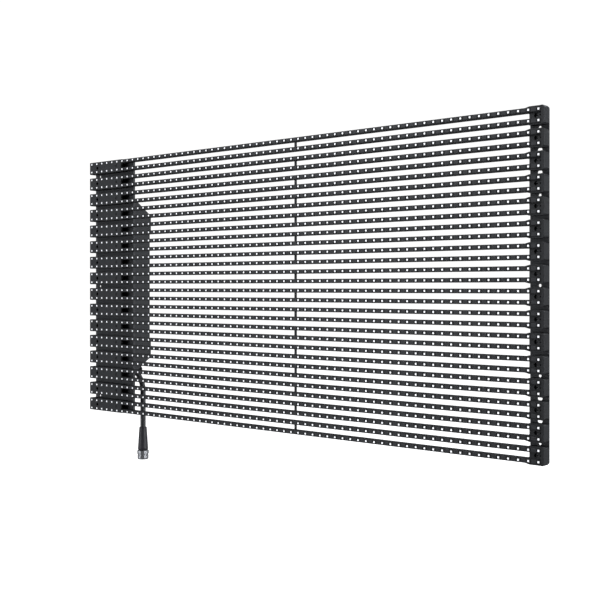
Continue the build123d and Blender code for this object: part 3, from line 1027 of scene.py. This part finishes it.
@dataclass
class HangingCord:
    """The cord below the control box, with the pieces on it. The route is (y, z) in millimetres."""

    x: float = -415.0 * MM
    diameter: float = 10.7 * MM
    length: float = 112.6 * MM
    route: tuple[tuple[float, float], ...] = (
        (34.2, -171.56),
        (41.59, -181.63),
        (46.72, -193.04),
        (49.34, -205.26),
        (49.34, -217.76),
        (49.34, -280.46),
    )
    bevel_steps: int = 6
    path_steps: int = 24
    cap: GlandCap = field(default_factory=GlandCap)
    plug: MouldedPlug = field(default_factory=MouldedPlug)
    nut: CouplingNut = field(default_factory=CouplingNut)

    def point(self, number: int) -> Vector:
        """A point of the route, in metres."""
        y, z = self.route[number]
        return Vector((self.x, y * MM, z * MM))

    def cord(self) -> bpy.types.Object:
        """The cord as one smooth spline.

        Returns:
            The curve object, which replaces the frame's tube.
        """
        curve = bpy.data.curves.new("cord_line", "CURVE")
        curve.dimensions = "3D"
        curve.bevel_depth = self.diameter / 2
        curve.bevel_resolution = self.bevel_steps
        curve.use_fill_caps = True
        spline = curve.splines.new("NURBS")
        spline.points.add(len(self.route) - 1)
        for number, spot in enumerate(spline.points):
            spot.co = (*self.point(number), 1)
        spline.order_u = 3
        spline.use_endpoint_u = True
        spline.resolution_u = self.path_steps
        obj = bpy.data.objects.new("hanging_cord", curve)
        bpy.context.scene.collection.objects.link(obj)
        JACKET.dress(obj)
        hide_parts("cord")
        return report(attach(obj, PANEL_BODY))

    def build(self) -> None:
        start = self.point(0)
        self.cap.build(start, (self.point(1) - start).normalized())
        cord = self.cord()
        plug = self.plug.build(self.point(len(self.route) - 1))
        nut = self.nut.build(self.x)


class FrameDress:
    """Finishes of the CAD nodes that show as they are."""

    FINISHES: dict[str, Finish] = {
        "left_rail": RAIL,
        "right_rail": RAIL,
        "control_box": BOX,
        "box_cover": BOX,
        "box_screws": SCREW,
        "cover_gasket": SEAL,
        "board_standoffs": STANDOFF,
        "power_supply": SUPPLY,
        "hub_board": CIRCUIT,
        "control_card": CIRCUIT,
        "gland_body": GLAND,
        "gland_locknut": GLAND,
        "contact_pins": CONTACT,
    }

    def build(self) -> None:
        """Gives each node its material."""
        for number in range(1, MODULE_COUNT + 1):
            CASE.dress(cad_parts[f"module_{number:02d}_case"])
            BOARD.dress(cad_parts[f"module_{number:02d}_board"])
        for node, finish in self.FINISHES.items():
            finish.dress(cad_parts[node])


@dataclass(frozen=True)
class Softbox:
    """A square area light, hidden from the camera: where it stands, what it points at, its side and power."""

    name: str
    at: Point
    aim: Point
    size: float
    watts: float

    def build(self, colour: Colour) -> None:
        """Sets the light up in a colour."""
        lamp = bpy.data.lights.new(self.name, "AREA")
        lamp.size = self.size
        lamp.energy = self.watts
        lamp.color = colour
        obj = bpy.data.objects.new(self.name, lamp)
        bpy.context.scene.collection.objects.link(obj)
        obj.location = self.at
        obj.rotation_mode = "QUATERNION"
        obj.rotation_quaternion = (Vector(self.aim) - Vector(self.at)).to_track_quat("-Z", "Y")
        obj.visible_camera = False


@dataclass
class Studio:
    """Pale floor, soft lights, white surroundings and the photograph's camera."""

    SOFTBOXES: ClassVar[tuple[Softbox, ...]] = (
        Softbox("right_softbox", (2.5, 0.7, 0.15), (0, 0, -0.1), 1.6, 22.0),
        Softbox("left_softbox", (-1.4, -2.1, 1.5), (0, 0, 0), 1.5, 30.0),
        Softbox("left_card", (-1.4, -2.4, -0.2), (-0.4, 0, -0.3), 1.1, 12.0),
        Softbox("right_card", (2.2, 0.3, -0.2), (-0.4, 0, -0.3), 0.9, 8.0),
        Softbox("left_rim", (-1.55, -0.7, -0.36), (-0.415, 0.05, -0.31), 0.5, 0.4),
        Softbox("right_rim", (0.44, 1.05, -0.36), (-0.415, 0.05, -0.31), 0.5, 0.5),
        Softbox("back_softbox", (0.3, 2.6, 1.3), (0, 0, 0), 1.6, 22.0),
        Softbox("top_softbox", (0.0, -0.6, 2.4), (0, 0, 0), 1.6, 16.0),
    )

    floor_height: float = -0.62
    floor_radius: float = 9.0
    floor_segments: int = 64
    floor_grey: float = 0.9
    floor_roughness: float = 0.9
    white_strength: float = 1.05
    surround: float = 0.16
    cool_white: Colour = (0.92, 0.955, 1.0)
    lens: float = 62.0
    sensor_width: float = 36.0
    yaw: float = 41.1
    camera_at: Point = (1.1764, -1.2985, -0.0031)
    shift_y: float = -0.0205
    clip: tuple[float, float] = (0.05, 60.0)

    def floor(self) -> None:
        """A plain round pale floor, well below the hanging panel."""
        bm = bmesh.new()
        bmesh.ops.create_circle(bm, cap_ends=True, radius=self.floor_radius, segments=self.floor_segments)
        bmesh.ops.translate(bm, verts=bm.verts, vec=(0, 0, self.floor_height))
        floor = from_bmesh("studio_floor", bm)
        paint = bpy.data.materials.new("studio_white")
        paint.use_nodes = True
        shader = paint.node_tree.nodes["Principled BSDF"]
        shader.inputs["Base Color"].default_value = (self.floor_grey, self.floor_grey, self.floor_grey, 1)
        shader.inputs["Roughness"].default_value = self.floor_roughness
        shader.inputs["Specular IOR Level"].default_value = 0.0
        shader.inputs["Emission Color"].default_value = (1, 1, 1, 1)
        shader.inputs["Emission Strength"].default_value = self.white_strength
        floor.data.materials.append(paint)
        floor.visible_diffuse = False
        floor.visible_glossy = False

    def world(self) -> None:
        """White behind the panel, and a dimmer even light on it."""
        world = bpy.data.worlds.new("studio")
        bpy.context.scene.world = world
        world.use_nodes = True
        nodes, links = world.node_tree.nodes, world.node_tree.links
        shown = nodes["Background"]
        shown.inputs["Color"].default_value = (1, 1, 1, 1)
        shown.inputs["Strength"].default_value = self.white_strength
        lighting = nodes.new("ShaderNodeBackground")
        lighting.inputs["Color"].default_value = (*self.cool_white, 1)
        lighting.inputs["Strength"].default_value = self.surround
        path = nodes.new("ShaderNodeLightPath")
        mix = nodes.new("ShaderNodeMixShader")
        links.new(path.outputs["Is Camera Ray"], mix.inputs["Fac"])
        links.new(lighting.outputs["Background"], mix.inputs[1])
        links.new(shown.outputs["Background"], mix.inputs[2])
        links.new(mix.outputs["Shader"], nodes["World Output"].inputs["Surface"])

    def camera(self) -> None:
        """A level camera to the right of the panel, at the photograph's angle."""
        lens = bpy.data.cameras.new("photo_camera")
        lens.lens = self.lens
        lens.sensor_width = self.sensor_width
        lens.sensor_fit = "AUTO"
        lens.shift_y = self.shift_y
        lens.clip_start, lens.clip_end = self.clip
        obj = bpy.data.objects.new("photo_camera", lens)
        bpy.context.scene.collection.objects.link(obj)
        obj.location = self.camera_at
        obj.rotation_euler = (math.pi / 2, 0, math.radians(self.yaw))
        bpy.context.scene.camera = obj

    def build(self) -> None:
        """Sets up everything round the panel."""
        self.floor()
        self.world()
        for softbox in self.SOFTBOXES:
            softbox.build(self.cool_white)
        self.camera()
        bpy.context.scene.view_settings.view_transform = "Standard"


def main() -> None:
    """Builds the visual model over the frame."""
    logging.basicConfig(level=logging.INFO, format="%(message)s")
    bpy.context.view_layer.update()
    trees = GridTree()
    Studio().build()
    FrameDress().build()
    HangingCord().build()
    LitStrips(PixelGrid(), trees).build()
    SocketScrews(
        trees,
        "module_socket_screws",
        ("module_screws_left", "module_screws_right"),
        columns=2,
        rows=MODULE_COUNT,
        head_radius=2.8 * MM,
        head_height=3.0 * MM,
        shank_radius=1.5 * MM,
        shank_length=6.3 * MM,
        toward=-1.0,
    ).build()
    SocketScrews(
        trees,
        "cover_socket_screws",
        ("cover_screws",),
        columns=2,
        rows=2,
        head_radius=2.8 * MM,
        head_height=2.5 * MM,
        shank_radius=1.5 * MM,
        shank_length=11.3 * MM,
        toward=1.0,
    ).build()
    bpy.context.view_layer.update()


if __name__ == "__main__":
    main()
